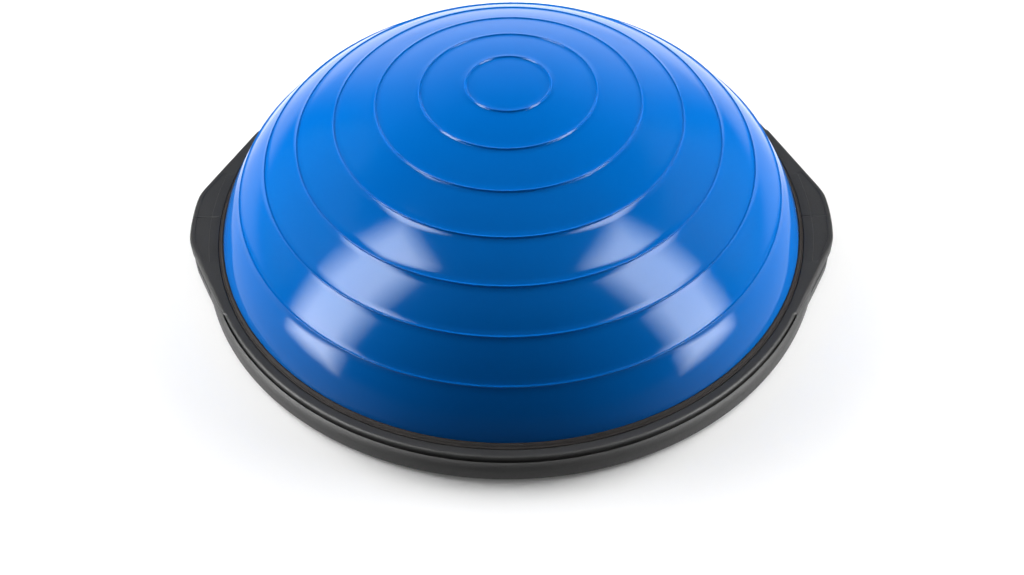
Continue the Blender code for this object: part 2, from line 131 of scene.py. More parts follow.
# Fasteners, feet and valve.
SCREW_COUNT = 12
SCREW_CIRCLE = 294.0 * MM
FOOT_COUNT = 8
FOOT_CIRCLE = 254.0 * MM
FOOT_RADIUS = 18 * MM
DECK_RIB_COUNT = 8
DECK_RIB_WIDTH = 3 * MM
DECK_RING_RADIUS = 140 * MM
DECK_RIB_BEAD = 0.8 * MM
ROOT_OVERLAP = 0.5 * MM            # the ribs, ring and bosses run this far into the deck
ROOT_FILLET = 0.7 * MM
PORT_RADIUS = 24 * MM
PORT_WALL = 3 * MM
PORT_BORE = 10.3 * MM
PORT_ROOF = 8 * MM
BLADDER_FLOOR_TOP = 13.7 * MM
FOOT_RECESS_DEPTH = 2 * MM
SCREW_RADIUS = 1.8 * MM
SCREW_HEAD_RADIUS = 3.6 * MM
SCREW_SEAT = 8.5 * MM
SCREW_TIP = 24.0 * MM
VALVE_BORE = 5.3 * MM
PLUG_STEM = 5.0 * MM
PLUG_HEAD_RADIUS = 9.0 * MM

FINE_STEPS = 288                   # sections round a large ring
SHARP_ANGLE = radians(42)


# ---- mesh helpers ------------------------------------------------------------------------------
def link(name, mesh, finish):
    piece = bpy.data.objects.new(name, mesh)
    bpy.context.scene.collection.objects.link(piece)
    if finish:
        mesh.materials.clear()
        mesh.materials.append(finish)
    return piece


def shade(mesh, angle=SHARP_ANGLE):
    mesh.shade_smooth()
    mesh.set_sharp_from_angle(angle=angle)


def weld(mesh, distance):
    """Join points that lie together and turn every face outwards."""
    form = bmesh.new()
    form.from_mesh(mesh)
    bmesh.ops.remove_doubles(form, verts=form.verts, dist=distance)
    bmesh.ops.recalc_face_normals(form, faces=form.faces)
    form.to_mesh(mesh)
    form.free()


def grid(name, points, finish, closed_ring=True, closed_section=True):
    """A skin over points[section, point]; an open ring of closed sections is capped at both ends."""
    sections, count = points.shape[:2]
    index = np.arange(sections * count).reshape(sections, count)
    nearer = index if closed_ring else index[:-1]
    further = np.roll(index, -1, axis=0) if closed_ring else index[1:]
    if closed_section:
        along, after = slice(None), lambda rows: np.roll(rows, -1, axis=1)
    else:
        along, after = slice(0, -1), lambda rows: rows[:, 1:]
    quads = np.stack([nearer[:, along], after(nearer), after(further), further[:, along]], axis=-1)
    faces = quads.reshape(-1, 4).tolist()
    if closed_section and not closed_ring:
        faces.append(index[0, ::-1].tolist())
        faces.append(index[-1].tolist())
    mesh = bpy.data.meshes.new(name)
    mesh.from_pydata(points.reshape(-1, 3).tolist(), [], faces)
    weld(mesh, 0.002 * MM)
    shade(mesh)
    return link(name, mesh, finish)


def turned(name, profile, finish, steps=FINE_STEPS, closed=True):
    """Turn a profile of (radius, height) points about the Z axis."""
    outline = np.array(profile)
    angles = np.linspace(0, 2 * pi, steps, endpoint=False)
    points = np.empty((steps, len(outline), 3))
    points[:, :, 0] = np.outer(np.cos(angles), outline[:, 0])
    points[:, :, 1] = np.outer(np.sin(angles), outline[:, 0])
    points[:, :, 2] = outline[:, 1]
    return grid(name, points, finish, closed_section=closed)


def arc(centre, radius, start, end, count=5):
    """Points on a circle in the section plane, from one angle in degrees to another."""
    turns = np.radians(np.linspace(start, end, count))
    return [(centre[0] + radius * cos(turn), centre[1] + radius * sin(turn)) for turn in turns]


def around(count, radius, first=0.5):
    """(number, angle, x, y) at equal angles on a circle."""
    for index in range(count):
        angle = 2 * pi * (index + first) / count
        yield index + 1, angle, radius * cos(angle), radius * sin(angle)


def cut(piece, cutters, operation="DIFFERENCE"):
    """Apply a Boolean with several cutters, which are then removed."""
    group = bpy.data.collections.new("cutters")
    for cutter in cutters:
        group.objects.link(cutter)
    change = piece.modifiers.new("cut", "BOOLEAN")
    change.operation = operation
    change.operand_type = "COLLECTION"
    change.collection = group
    bpy.context.view_layer.update()
    graph = bpy.context.evaluated_depsgraph_get()
    result = bpy.data.meshes.new_from_object(piece.evaluated_get(graph))
    piece.modifiers.clear()
    piece.data = result
    shade(result)
    for cutter in cutters:
        bpy.data.objects.remove(cutter)
    bpy.data.collections.remove(group)
    return piece


# ---- material helpers --------------------------------------------------------------------------
class Finish:
    """A Principled material whose colour, roughness and bump come from nodes in object metres."""

    def __init__(self, name, **constants):
        self.material = bpy.data.materials.new(name)
        self.material.use_nodes = True
        self.nodes = self.material.node_tree.nodes
        self.links = self.material.node_tree.links
        self.shader = self.nodes["Principled BSDF"]
        for socket, value in constants.items():
            self.shader.inputs[socket.replace("_", " ")].default_value = value
        self.place = self.nodes.new("ShaderNodeTexCoord").outputs["Object"]
        self.relief = None

    def noise(self, cell, detail=2.0, roughness=0.5, distortion=0.0, stretch=None):
        """Soft noise with features of about the given size in metres."""
        node = self.nodes.new("ShaderNodeTexNoise")
        node.inputs["Scale"].default_value = 1.0 / cell
        node.inputs["Detail"].default_value = detail
        node.inputs["Roughness"].default_value = roughness
        node.inputs["Distortion"].default_value = distortion
        self.links.new(self.placed(stretch), node.inputs["Vector"])
        return node.outputs["Fac"]

    def cells(self, cell, feature="F1", stretch=None):
        """Distance to the nearest of scattered points, spaced about the given size in metres."""
        node = self.nodes.new("ShaderNodeTexVoronoi")
        node.feature = feature
        node.inputs["Scale"].default_value = 1.0 / cell
        self.links.new(self.placed(stretch), node.inputs["Vector"])
        return node.outputs["Distance"]

    def placed(self, stretch):
        if stretch is None:
            return self.place
        node = self.nodes.new("ShaderNodeMapping")
        node.inputs["Scale"].default_value = stretch
        self.links.new(self.place, node.inputs["Vector"])
        return node.outputs["Vector"]

    def ramp(self, factor, stops):
        """Colours at places along a factor: stops are (place, colour)."""
        node = self.nodes.new("ShaderNodeValToRGB")
        band = node.color_ramp
        while len(band.elements) < len(stops):
            band.elements.new(0.5)
        for element, (place, colour) in zip(band.elements, stops):
            element.position = place
            element.color = (*colour, 1.0)
        self.links.new(factor, node.inputs["Fac"])
        return node.outputs["Color"]

    def spread(self, factor, low, high, start=0.25, end=0.75):
        """A factor's usual range carried to a range of values."""
        node = self.nodes.new("ShaderNodeMapRange")
        for socket, value in zip(("From Min", "From Max", "To Min", "To Max"), (start, end, low, high)):
            node.inputs[socket].default_value = value
        self.links.new(factor, node.inputs["Value"])
        return node.outputs["Result"]

    def mix(self, factor, first, second, blend="MIX"):
        """Two colours mixed; a factor or a colour may be a socket or a constant."""
        node = self.nodes.new("ShaderNodeMix")
        node.data_type = "RGBA"
        node.blend_type = blend
        sockets = [node.inputs[0], node.inputs[6], node.inputs[7]]
        for socket, value in zip(sockets, (factor, first, second)):
            if isinstance(value, bpy.types.NodeSocket):
                self.links.new(value, socket)
            elif isinstance(value, tuple):
                socket.default_value = (*value, 1.0)
            else:
                socket.default_value = value
        return node.outputs[2]

    def bump(self, height, depth, strength=1.0):
        """Add relief: the height factor from 0 to 1 stands for a depth in metres."""
        node = self.nodes.new("ShaderNodeBump")
        node.inputs["Strength"].default_value = strength
        node.inputs["Distance"].default_value = depth
        self.links.new(height, node.inputs["Height"])
        if self.relief:
            self.links.new(self.relief, node.inputs["Normal"])
        self.relief = node.outputs["Normal"]

    def done(self, colour, roughness):
        self.links.new(colour, self.shader.inputs["Base Color"])
        self.links.new(roughness, self.shader.inputs["Roughness"])
        if self.relief:
            self.links.new(self.relief, self.shader.inputs["Normal"])
        return self.material


def dome_vinyl():
    """Glossy royal-blue PVC: wide soft waves from the stretched wall, orange peel and fine rub marks."""
    skin = Finish("dome_pvc", IOR=1.50, Specular_IOR_Level=0.17, Specular_Tint=(0.86, 0.93, 1.0, 1.0))
    cloud = skin.noise(0.16, detail=3.0)
    colour = skin.ramp(cloud, [(0.30, (0.0, 0.124, 0.485)), (0.70, (0.0, 0.137, 0.525))])
    rub = skin.noise(0.006, detail=6.0, roughness=0.7, stretch=(1.0, 1.0, 0.35))
    colour = skin.mix(skin.spread(rub, 0.0, 0.12, 0.55, 0.80), colour, (0.0, 0.17, 0.56))
    roughness = skin.spread(rub, 0.08, 0.12)
    skin.bump(skin.noise(0.090, detail=1.0), 0.6 * MM)
    skin.bump(skin.noise(0.0016, detail=2.0), 0.004 * MM)
    return skin.done(colour, roughness)


def textured_plastic(name, shade_low, shade_high, grain, depth, rough_low, rough_high):
    """Injection-moulded black plastic with a spark-eroded grain, faint flow clouds and rubbed spots."""
    skin = Finish(name, IOR=1.49, Specular_IOR_Level=0.32)
    cloud = skin.noise(0.050, detail=4.0, distortion=0.6)
    dark, light = [(value, value, value) for value in (shade_low, shade_high)]
    colour = skin.ramp(cloud, [(0.30, dark), (0.72, light)])
    dust = skin.noise(0.0011, detail=4.0, roughness=0.75)
    colour = skin.mix(skin.spread(dust, 0.0, 0.20, 0.62, 0.80), colour, (0.12, 0.12, 0.12))
    speck = skin.noise(grain * 2.5, detail=3.0, roughness=0.6)
    skin.bump(skin.cells(grain), depth)
    skin.bump(skin.noise(grain * 0.6, detail=2.0), depth * 0.6)
    return skin.done(colour, skin.spread(speck, rough_low, rough_high))


def lip_rubber():
    """Soft brown-black sealing lip with a matt, slightly dusty face."""
    skin = Finish("lip_rubber", IOR=1.50, Specular_IOR_Level=0.15)
    cloud = skin.noise(0.020, detail=4.0)
    colour = skin.ramp(cloud, [(0.30, (0.009, 0.0075, 0.007)), (0.70, (0.014, 0.0115, 0.0105))])
    skin.bump(skin.noise(0.0009, detail=3.0), 0.05 * MM)
    return skin.done(colour, skin.spread(skin.noise(0.004, detail=3.0), 0.66, 0.80))


def foot_rubber():
    """Dark non-slip rubber with a pebbled face."""
    skin = Finish("foot_rubber", IOR=1.52, Sheen_Weight=0.15)
    dark, light = (0.040, 0.040, 0.042), (0.062, 0.062, 0.064)
    colour = skin.ramp(skin.noise(0.009, detail=4.0), [(0.3, dark), (0.7, light)])
    skin.bump(skin.cells(0.0012), 0.10 * MM)
    return skin.done(colour, skin.spread(skin.noise(0.002), 0.74, 0.92))


def screw_steel():
    """Zinc-plated steel with a brushed, slightly clouded face."""
    skin = Finish("screw_steel", Metallic=1.0)
    dark, light = (0.38, 0.38, 0.39), (0.52, 0.52, 0.50)
    colour = skin.ramp(skin.noise(0.003, detail=4.0), [(0.3, dark), (0.7, light)])
    skin.bump(skin.noise(0.0004, detail=2.0, stretch=(1.0, 1.0, 6.0)), 0.01 * MM)
    return skin.done(colour, skin.spread(skin.noise(0.0012, detail=3.0), 0.24, 0.42))


def moulded(name, low, high, rough_low, rough_high):
    """Plain moulded plastic of one hue, with slight clouding and a fine grain."""
    skin = Finish(name, IOR=1.50)
    colour = skin.ramp(skin.noise(0.006, detail=4.0), [(0.3, low), (0.7, high)])
    skin.bump(skin.noise(0.0006, detail=2.0), 0.015 * MM)
    return skin.done(colour, skin.spread(skin.noise(0.003, detail=3.0), rough_low, rough_high))


# ---- dome --------------------------------------------------------------------------------------
def dome_meridian(step=0.1 * MM):
    """Arc lengths, radii, heights and slopes down the outside of the smooth dome."""
    arcs = np.arange(0.0, DOME_ARC + step, step)
    u = arcs * 10
    slopes = SLOPE_LINEAR * u + SLOPE_CUBIC * u ** 3 + SLOPE_SEVENTH * u ** 7
    middle = (slopes[1:] + slopes[:-1]) / 2
    radii = np.concatenate([[0.0], np.cumsum(step * np.cos(middle))])
    heights = DOME_TOP - np.concatenate([[0.0], np.cumsum(step * np.sin(middle))])
    return arcs, radii, heights, slopes


ARCS, RADII, HEIGHTS, SLOPES = dome_meridian()


def on_dome(arc_length, raised=0.0):
    """(radius, height) at an arc length from the crown, raised along the surface normal."""
    slope = np.interp(arc_length, ARCS, SLOPES)
    radius = np.interp(arc_length, ARCS, RADII) + raised * np.sin(slope)
    return float(radius), float(np.interp(arc_length, ARCS, HEIGHTS) + raised * np.cos(slope))


def dome_radius_at(height):
    return float(np.interp(-height, -HEIGHTS, RADII))


def rib_rise(arc_length):
    """How far a rounded rib lifts the skin at an arc length."""
    number = np.clip(np.round((arc_length - RIB_FIRST) / RIB_PITCH), 0, RIB_COUNT - 1)
    away = abs(arc_length - (RIB_FIRST + RIB_PITCH * number)) / RIB_HALF_WIDTH
    return RIB_HEIGHT * (0.5 + 0.5 * cos(pi * away)) if away < 1 else 0.0


def dome_stations():
    """Arc lengths of the dome's section points: close together over each rib, wider between ribs."""
    on_rib, between = 13, 9
    stations = list(np.linspace(0.0, RIB_FIRST - RIB_HALF_WIDTH, between)[:-1])
    for rib in range(RIB_COUNT):
        middle = RIB_FIRST + rib * RIB_PITCH
        stations += list(np.linspace(middle - RIB_HALF_WIDTH, middle + RIB_HALF_WIDTH, on_rib))
        following = middle + RIB_PITCH - RIB_HALF_WIDTH
        end = following if rib < RIB_COUNT - 1 else WALL_ARC
        stations += list(np.linspace(middle + RIB_HALF_WIDTH, end, between)[1:-1])
    return stations + [WALL_ARC]


def make_dome(finish):
    """The ribbed skin, turned down inside the lip and out into the clamped flange."""
    outer = [on_dome(station, rib_rise(station)) for station in dome_stations()]
    foot = dome_radius_at(FLANGE_TOP)
    bend = FLANGE_BEND
    outer.append((foot, FLANGE_TOP + bend))
    outer += arc((foot + bend, FLANGE_TOP + bend), bend, 180, 270, 4)
    outer += [(FLANGE_RADIUS, FLANGE_TOP), (FLANGE_RADIUS, FLANGE_TOP - FLANGE_THICKNESS)]
    outer.append((foot - DOME_WALL, FLANGE_TOP - FLANGE_THICKNESS))
    inner = [on_dome(length, -DOME_WALL) for length in np.linspace(INNER_WALL_ARC, 0.0, 24)]
    piece = turned("dome_surface", outer + inner, finish, closed=False)
    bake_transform(piece)
    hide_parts("dome_skin")
    return piece


def make_lip(finish):
    """A soft wedge: a feathered edge against the dome, a rolled crest and a groove beside the rim."""
    contact = dome_radius_at(LIP_CONTACT)
    edge = LIP_OUTER_RADIUS
    crest_height = LIP_CONTACT - 0.5 * MM
    crest_roll, shoulder_roll, clearance = 0.9 * MM, 1.1 * MM, 0.45 * MM
    profile = [(contact + 0.35 * MM, LIP_CONTACT - 0.2 * MM)]
    profile += arc((contact + 1.2 * MM, crest_height - 0.6 * MM), crest_roll, 120, 45, 5)
    profile += [(contact + 2.6 * MM, crest_height - 0.65 * MM), (edge - 1.5 * MM, RIM_TOP + 0.75 * MM)]
    profile += arc((edge - shoulder_roll, RIM_TOP - 0.4 * MM), shoulder_roll, 75, 0, 5)
    profile.append((edge, LIP_FOOT))
    for height in np.linspace(LIP_FOOT, LIP_CONTACT - 0.9 * MM, 6):
        profile.append((dome_radius_at(height) + clearance, height))
    piece = turned("lip_ring", profile, finish)
    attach(piece, "base")
    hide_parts("seal_lip")
    return piece


# ---- rim and ears ------------------------------------------------------------------------------
def ear_radius(angle, tip=EAR_TIP, flank=EAR_FLANK_DISTANCE):
    """Distance from the axis to the ear's outline, at a polar angle from the middle of the ear.

    The bowed end and the straight flank meet in a soft minimum, which rounds the corner between them.
    """
    offset = tip - EAR_BOW_RADIUS
    bow = offset * cos(angle) + (EAR_BOW_RADIUS ** 2 - (offset * sin(angle)) ** 2) ** 0.5
    away = abs(abs(angle) - EAR_FLANK_ANGLE)
    straight = flank / max(cos(away), 0.2)
    soft = EAR_CORNER_SOFTNESS
    nearer = min(bow, straight)
    return nearer - soft * np.log(np.exp((nearer - bow) / soft) + np.exp((nearer - straight) / soft))


def from_ear(angle):
    """Polar angle from the middle of the nearer ear."""
    return (angle + pi / 2) % pi - pi / 2


def ring_angles(start, end):
    """Angles round a ring, closer together across the ears' corners and flanks."""
    angles = set(np.linspace(start, end, int((end - start) / (2 * pi) * FINE_STEPS) + 1).tolist())
    for middle in (0.0, pi, 2 * pi):
        for away in np.radians(np.linspace(0.0, 26.0, 105)):
            for angle in (middle - away, middle + away):
                if start < angle < end:
                    angles.add(float(angle))
    return sorted(angles)


def in_pocket(angle):
    return abs(from_ear(angle)) < POCKET_HALF_LENGTH / POCKET_INNER_X


def ear_panel(outline, top):
    """Four points across the rim's top that sink a shallow panel where an ear is broad enough."""
    low, high = PANEL_INNER_RADIUS, outline - PANEL_BORDER
    if high - low < PANEL_BORDER:
        return [(radius, top) for radius in np.linspace(RIM_INNER_RADIUS + 2 * MM, outline - 4 * MM, 4)]
    sunk = top - PANEL_DEPTH
    return [(low, top), (low + PANEL_STEP, sunk), (high - PANEL_STEP, sunk), (high, top)]


def rim_section(angle, inset):
    """The rim's closed section at an angle, shrunk by an inset towards its ends."""
    from_middle = from_ear(angle)
    outline = RIM_OUTER_RADIUS
    if abs(from_middle) < EAR_FLANK_ANGLE:
        outline = max(RIM_OUTER_RADIUS, ear_radius(from_middle))
    share = min(1.0, max(0.0, (outline - RIM_OUTER_RADIUS) / EAR_BLEND))
    wall_foot = RIM_WALL_FOOT + (EAR_SPLIT - RIM_WALL_FOOT) * share
    rounding = RIM_ROUNDING + (EAR_ROUNDING - RIM_ROUNDING) * share
    inner, outer, top = RIM_INNER_RADIUS + inset, outline - inset, RIM_TOP - inset
    section = [(inner, LIP_FOOT + inset), (inner, top - RIM_BEAD)]
    section += arc((inner + RIM_BEAD, top - RIM_BEAD), RIM_BEAD, 180, 90, 5)
    section += ear_panel(outline, top)
    section += arc((outer - rounding, top - rounding), rounding, 90, 0, 9)
    foot = outer - RIM_WALL_DRAFT * (1 - share)
    small = RIM_FOOT_ROUNDING
    section += arc((foot - small, wall_foot + small), small, 0, -90, 4)
    pocket_inner = pocket_outer = RIM_BODY_RADIUS + RIM_LEDGE
    roof = wall_foot
    if in_pocket(angle):
        pocket_inner, pocket_outer = POCKET_INNER_X, max(outer - POCKET_WALL, POCKET_INNER_X)
        roof = POCKET_ROOF
    section += [(pocket_outer, wall_foot), (pocket_outer, roof), (pocket_inner, roof)]
    body = RIM_BODY_RADIUS - inset
    seat = FLANGE_RADIUS + GAP + inset
    section += [(body, wall_foot), (body, RIM_FOOT + inset)]
    section += [(seat, RIM_FOOT + inset), (seat, LIP_FOOT + inset)]
    return section


def end_rows(angle, side):
    """Sections of a rim half's rounded end on one side, from its face inwards."""
    rows = []
    for share in (0.0, 0.15, 0.4, 0.7, 1.0):
        away = share * RIM_BEAD
        inset = RIM_BEAD - (RIM_BEAD ** 2 - (RIM_BEAD - away) ** 2) ** 0.5
        rows.append([(side * r, HALF_GAP + away, z) for r, z in rim_section(angle, inset)])
    return rows


def make_rim_half(name, turn, node, finish):
    """Half the clamping ring with half of both ears; its ends are rounded where the halves meet."""
    rows = end_rows(0.0, 1)
    for angle in ring_angles(0.0, pi)[1:-1]:
        if min(angle, pi - angle) * EAR_TIP > 1.5 * MM:
            rows.append([(r * cos(angle), r * sin(angle), z) for r, z in rim_section(angle, 0.0)])
    rows += end_rows(pi, -1)[::-1]
    piece = grid(name, np.array(rows), finish, closed_ring=False)
    piece.data.transform(Matrix.Rotation(turn, 4, "Z"))
    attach(piece, "base")
    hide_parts(node)
    return piece


# ---- platform ----------------------------------------------------------------------------------
def platform_section(angle):
    """The deck, standing ring and round-shouldered skirt, which is lower where an ear lies over it."""
    from_middle = from_ear(angle)
    under_ear = abs(from_middle) < EAR_FLANK_ANGLE and ear_radius(from_middle) > SKIRT_RADIUS
    top = EAR_SPLIT - GAP if under_ear else SKIRT_TOP
    drop = SHOULDER_DROP_UNDER_EAR if under_ear else SHOULDER_DROP
    inner = SKIRT_RADIUS - SHOULDER_REACH
    lower = SKIRT_FOOT_ROUNDING
    section = [(STAND_RADIUS, SKIRT_BOTTOM)]
    section += arc((SKIRT_RADIUS - lower, SKIRT_BOTTOM + lower), lower, -90, 0, 6)
    last = SHOULDER_TURN
    for turn in np.linspace(0, last, 12):
        lean = (cos(turn) - cos(last)) / (1 - cos(last))
        section.append((inner + SHOULDER_REACH * lean, top - drop + drop * sin(turn) / sin(last)))
    section += [(inner, GROOVE_FLOOR), (SKIRT_INNER_RADIUS, GROOVE_FLOOR), (SKIRT_INNER_RADIUS, DECK_TOP)]
    section += [(PORT_BORE, DECK_TOP), (PORT_BORE, PORT_ROOF), (PORT_RADIUS, PORT_ROOF)]
    hub = PORT_RADIUS + PORT_WALL
    section += [(PORT_RADIUS, SKIRT_BOTTOM), (hub, SKIRT_BOTTOM), (hub, DECK_UNDERSIDE)]
    chamfer = 1.0 * MM
    section += [(STAND_RADIUS - chamfer, DECK_UNDERSIDE), (STAND_RADIUS, DECK_UNDERSIDE - chamfer)]
    return section


def on_base(piece, node):
    """Let a piece that belongs to the base stand for a CAD node."""
    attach(piece, "base")
    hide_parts(node)
    return piece


def post(radius, low, high, x, y, sides=32):
    """A round cutter from one height to another."""
    mesh = bpy.data.meshes.new("post")
    form = bmesh.new()
    middle = Matrix.Translation((x, y, (low + high) / 2))
    bmesh.ops.create_cone(
        form, cap_ends=True, segments=sides, radius1=radius, radius2=radius, depth=high - low, matrix=middle
    )
    form.to_mesh(mesh)
    form.free()
    return bpy.data.objects.new("post", mesh)


def prism(outline, low, high, turn=0.0):
    """A cutter with a flat outline of (x, y) points, turned about the Z axis."""
    mesh = bpy.data.meshes.new("prism")
    form = bmesh.new()
    face = form.faces.new([form.verts.new((x, y, low)) for x, y in outline])
    risen = bmesh.ops.extrude_face_region(form, geom=[face])["geom"]
    for part in risen:
        if isinstance(part, bmesh.types.BMVert):
            part.co.z = high
    bmesh.ops.recalc_face_normals(form, faces=form.faces)
    form.transform(Matrix.Rotation(turn, 4, "Z"))
    form.to_mesh(mesh)
    form.free()
    return bpy.data.objects.new("prism", mesh)


def make_platform(finish):
    """The turned body with counterbores for the screws and with the finger pockets cut through it."""
    angles = ring_angles(0.0, 2 * pi)[:-1]
    rows = [[(r * cos(a), r * sin(a), z) for r, z in platform_section(a)] for a in angles]
    piece = grid("platform_body", np.array(rows), finish)
    head = SCREW_HEAD_RADIUS + GAP
    cutters = [post(head, 0.0, SCREW_SEAT, x, y) for _, _, x, y in around(SCREW_COUNT, SCREW_CIRCLE)]
    cutters += [prism(pocket_outline(), 0.0, EAR_SPLIT + 1 * MM, turn) for turn in (0.0, pi)]
    cut(piece, cutters)
    return on_base(piece, "platform")


def rib_side(face, foot, draft=0.0):
    """(across, height) down one side of a deck rib: a fillet, the side itself and a rounded edge."""
    root = DECK_UNDERSIDE + ROOT_OVERLAP
    side = [(face + ROOT_FILLET, root), (face + draft, root - 1.0 * MM)]
    return side + arc((face - DECK_RIB_BEAD, foot + DECK_RIB_BEAD), DECK_RIB_BEAD, 0, -90, 5)


def make_deck_ribs(finish):
    """Tapered stiffening ribs from the valve hub out to the standing ring, rounded along their feet."""
    half = DECK_RIB_WIDTH / 2
    side = rib_side(half, SKIRT_BOTTOM + 0.4 * MM, draft=0.1 * MM)
    section = side + [(-y, z) for y, z in reversed(side)]
    start, end = PORT_RADIUS + PORT_WALL - DECK_RIB_BEAD, STAND_RADIUS + DECK_RIB_BEAD
    for number, angle, _, _ in around(DECK_RIB_COUNT, 1.0, first=0.0):
        rows = np.array([[(x, y, z) for y, z in section] for x in (start, end)])
        piece = grid(f"deck_rib_{number}", rows, finish, closed_ring=False)
        piece.data.transform(Matrix.Rotation(angle, 4, "Z"))
        on_base(piece, "platform")


def make_deck_ring(finish):
    """The ring rib that crosses the deck ribs half way out."""
    half = DECK_RIB_WIDTH / 2
    middle = DECK_RING_RADIUS - half
    side = rib_side(half, SKIRT_BOTTOM + 0.2 * MM)
    profile = [(middle + across, height) for across, height in side]
    profile += [(middle - across, height) for across, height in reversed(side)]
    on_base(turned("deck_ring", profile, finish), "platform")


def make_foot_bosses(finish):
    """Round cups under the deck that the feet are pressed into."""
    foot, roof = SKIRT_BOTTOM + 0.6 * MM, SKIRT_BOTTOM + FOOT_RECESS_DEPTH
    root = DECK_UNDERSIDE + ROOT_OVERLAP
    outer, inner = FOOT_RADIUS + 3.0 * MM, FOOT_RADIUS + GAP
    bead, chamfer = 0.6 * MM, 0.3 * MM
    profile = [(0.0, root), (outer + ROOT_FILLET, root), (outer, root - 1.0 * MM)]
    profile += arc((outer - bead, foot + bead), bead, 0, -90, 5)
    profile += [(inner + chamfer, foot), (inner, foot + chamfer), (inner, roof), (0.0, roof)]
    for number, _, x, y in around(FOOT_COUNT, FOOT_CIRCLE):
        piece = turned(f"foot_boss_{number}", profile, finish, steps=64, closed=False)
        piece.location = (x, y, 0.0)
        on_base(piece, "platform")


def ear_outline(tip, flank, inner, count=24):
    """Points round one ear at +X, from flank to flank, closed along the ring."""
    angles = np.linspace(-EAR_FLANK_ANGLE, EAR_FLANK_ANGLE, 4 * count + 1)
    radii = [ear_radius(angle, tip, flank) for angle in angles]
    outer = [(radius * cos(angle), radius * sin(angle)) for radius, angle in zip(radii, angles)]
    return outer + [(inner * cos(angle), inner * sin(angle)) for angle in angles[::-4]]


def pocket_outline(count=9):
    """The finger pocket: straight inside, bowed like the ear's end outside."""
    outer = EAR_BOW_RADIUS - POCKET_WALL
    centre = EAR_TIP - EAR_BOW_RADIUS
    sweep = POCKET_HALF_LENGTH / outer
    far = [(centre + outer * cos(turn), outer * sin(turn)) for turn in np.linspace(-sweep, sweep, count)]
    return [(POCKET_INNER_X, -POCKET_HALF_LENGTH), *far, (POCKET_INNER_X, POCKET_HALF_LENGTH)]


def make_lower_ear(name, side, finish):
    """The platform's half of an ear: a rounded plate with the finger pocket through it."""
    rounding = 0.9 * MM
    low, high = SKIRT_BOTTOM + GAP, EAR_SPLIT - GAP
    curve = bpy.data.curves.new(name, "CURVE")
    curve.dimensions = "2D"
    curve.fill_mode = "BOTH"
    curve.extrude = (high - low) / 2 - rounding
    curve.bevel_depth = rounding
    curve.bevel_resolution = 3
    curve.offset = -rounding
    ear = ear_outline(EAR_TIP - EAR_STEP, DECK_EAR_FLANK, SKIRT_INNER_RADIUS + 1.0 * MM)
    for outline in (ear, pocket_outline()):
        spline = curve.splines.new("POLY")
        spline.points.add(len(outline) - 1)
        for point, (x, y) in zip(spline.points, outline):
            point.co = (x, y, 0.0, 1.0)
        spline.use_cyclic_u = True
    drawn = bpy.data.objects.new(name + "_outline", curve)
    bpy.context.scene.collection.objects.link(drawn)
    bpy.context.view_layer.update()
    mesh = bpy.data.meshes.new_from_object(drawn.evaluated_get(bpy.context.evaluated_depsgraph_get()))
    bpy.data.objects.remove(drawn)
    weld(mesh, 0.01 * MM)
    mesh.transform(Matrix.Rotation(side, 4, "Z") @ Matrix.Translation((0, 0, (low + high) / 2)))
    shade(mesh)
    piece = link(name, mesh, finish)
    return on_base(piece, "platform")


# ---- feet, screws and valve --------------------------------------------------------------------
def make_feet(finish):
    """Non-slip discs with two tread grooves and a hollow middle."""
    top, edge = SKIRT_BOTTOM + 1.7 * MM, 1.6 * MM
    profile = [(0.0, top), (FOOT_RADIUS, top)]
    profile += arc((FOOT_RADIUS - edge, edge), edge, 0, -90, 6)
    for groove in (14.0 * MM, 10.5 * MM):
        profile += arc((groove, 0.0), 0.7 * MM, 0, 180, 7)
    profile += arc((0.0, 18 * MM), 17.5 * MM, -70, -90, 5)
    for number, _, x, y in around(FOOT_COUNT, FOOT_CIRCLE):
        piece = turned(f"foot_pad_{number}", profile, finish, steps=48, closed=False)
        piece.location = (x, y, 0.0)
        on_base(piece, f"foot_{number}")


def bar_outline(reach, half_width):
    return [(-reach, -half_width), (reach, -half_width), (reach, half_width), (-reach, half_width)]


def cross_recess(radius, low, high, half_width, narrowing=0.45):
    """Two crossed bars that taper upwards, for the driver's cross in a screw head."""
    bars = []
    for turn in (0.0, pi / 2):
        bar = prism(bar_outline(radius, half_width), low, high, turn)
        for vert in bar.data.vertices:
            if vert.co.z > (low + high) / 2:
                vert.co.x *= narrowing
                vert.co.y *= narrowing
        bars.append(bar)
    return bars


def make_screws(finish):
    """Pan-head screws with a cross recess, seen in the counterbores of the underside."""
    head_low, head_high = SKIRT_BOTTOM + 1.2 * MM, SCREW_SEAT - GAP
    head, shank = SCREW_HEAD_RADIUS, SCREW_RADIUS
    pan, chamfer = 1.5 * MM, 0.2 * MM
    profile = [(0.0, SCREW_TIP), (shank * 0.4, SCREW_TIP - 0.6 * MM), (shank, SCREW_TIP - 3.0 * MM)]
    profile += [(shank, head_high), (head - chamfer, head_high), (head, head_high - chamfer)]
    for turn in np.linspace(0, pi / 2, 8)[:-1]:
        profile.append((head * cos(turn), head_low + pan * (1 - sin(turn))))
    profile.append((0.0, head_low))
    first = turned("screw_1", profile, finish, steps=48, closed=False)
    cut(first, cross_recess(2.0 * MM, head_low - 0.5 * MM, head_low + 1.8 * MM, 0.45 * MM))
    for number, angle, x, y in around(SCREW_COUNT, SCREW_CIRCLE):
        piece = first if number == 1 else link(f"screw_{number}", first.data, None)
        piece.location = (x, y, 0.0)
        piece.rotation_euler.z = angle * number
        on_base(piece, f"clamp_screw_{number}")


